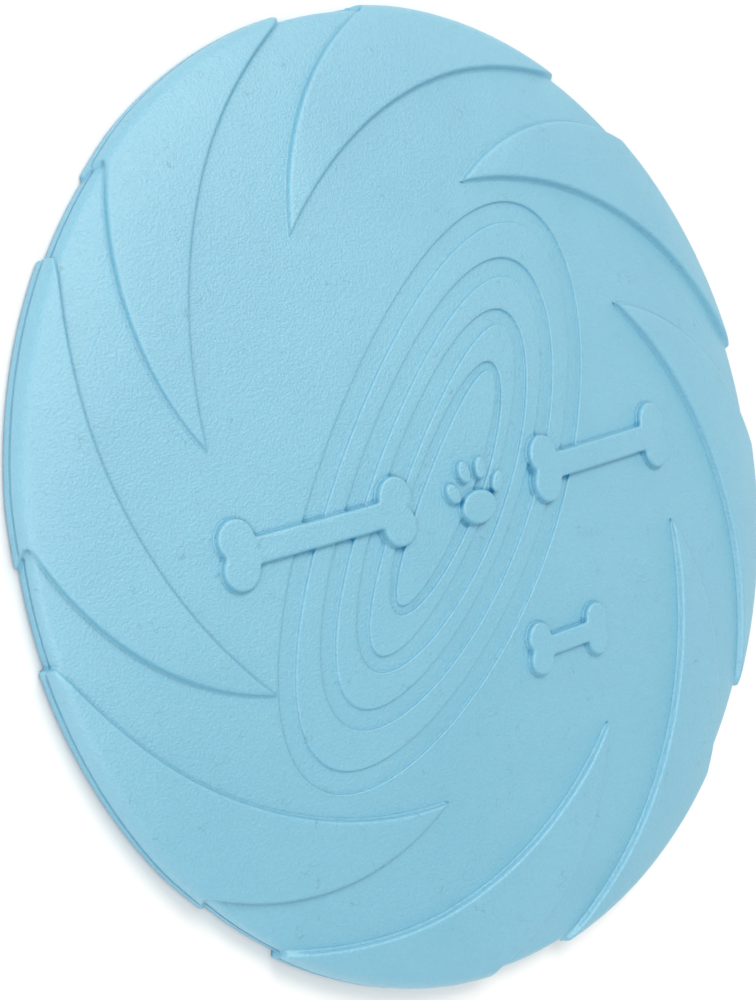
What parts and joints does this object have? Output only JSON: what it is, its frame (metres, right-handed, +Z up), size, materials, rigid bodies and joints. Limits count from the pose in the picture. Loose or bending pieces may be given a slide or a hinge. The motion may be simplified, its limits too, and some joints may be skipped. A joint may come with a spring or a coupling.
{
  "type": "flying disc",
  "caption": "Soft rubber flying disc for a dog: low dome in a rounded rim, with swirling raised vanes, nested oval grooves and a raised bone and paw emblem.",
  "frame": {"origin": "on the resting plane, under the centre of the domed crown", "axes": "+Z up out of the decorated face, +X along the emblem row towards its right-hand bone, the disc lying rim down"},
  "size_m": [0.1888, 0.1888, 0.0189],
  "materials": {
    "rubber": "satin light-blue natural rubber"
  },
  "bodies": {
    "root": {"flight_plate": "rubber", "grip_rim": "rubber", "oval_ring_outer": "rubber", "oval_ring_middle": "rubber", "oval_ring_inner": "rubber", "oval_centre": "rubber", "vane_1": "rubber", "vane_2": "rubber", "vane_3": "rubber", "vane_4": "rubber", "vane_5": "rubber", "vane_6": "rubber", "vane_7": "rubber", "vane_8": "rubber", "bone_left": "rubber", "bone_right": "rubber", "bone_small": "rubber", "paw_pad": "rubber", "paw_toe_1": "rubber", "paw_toe_2": "rubber", "paw_toe_3": "rubber", "paw_toe_4": "rubber"}
  },
  "joints": []
}
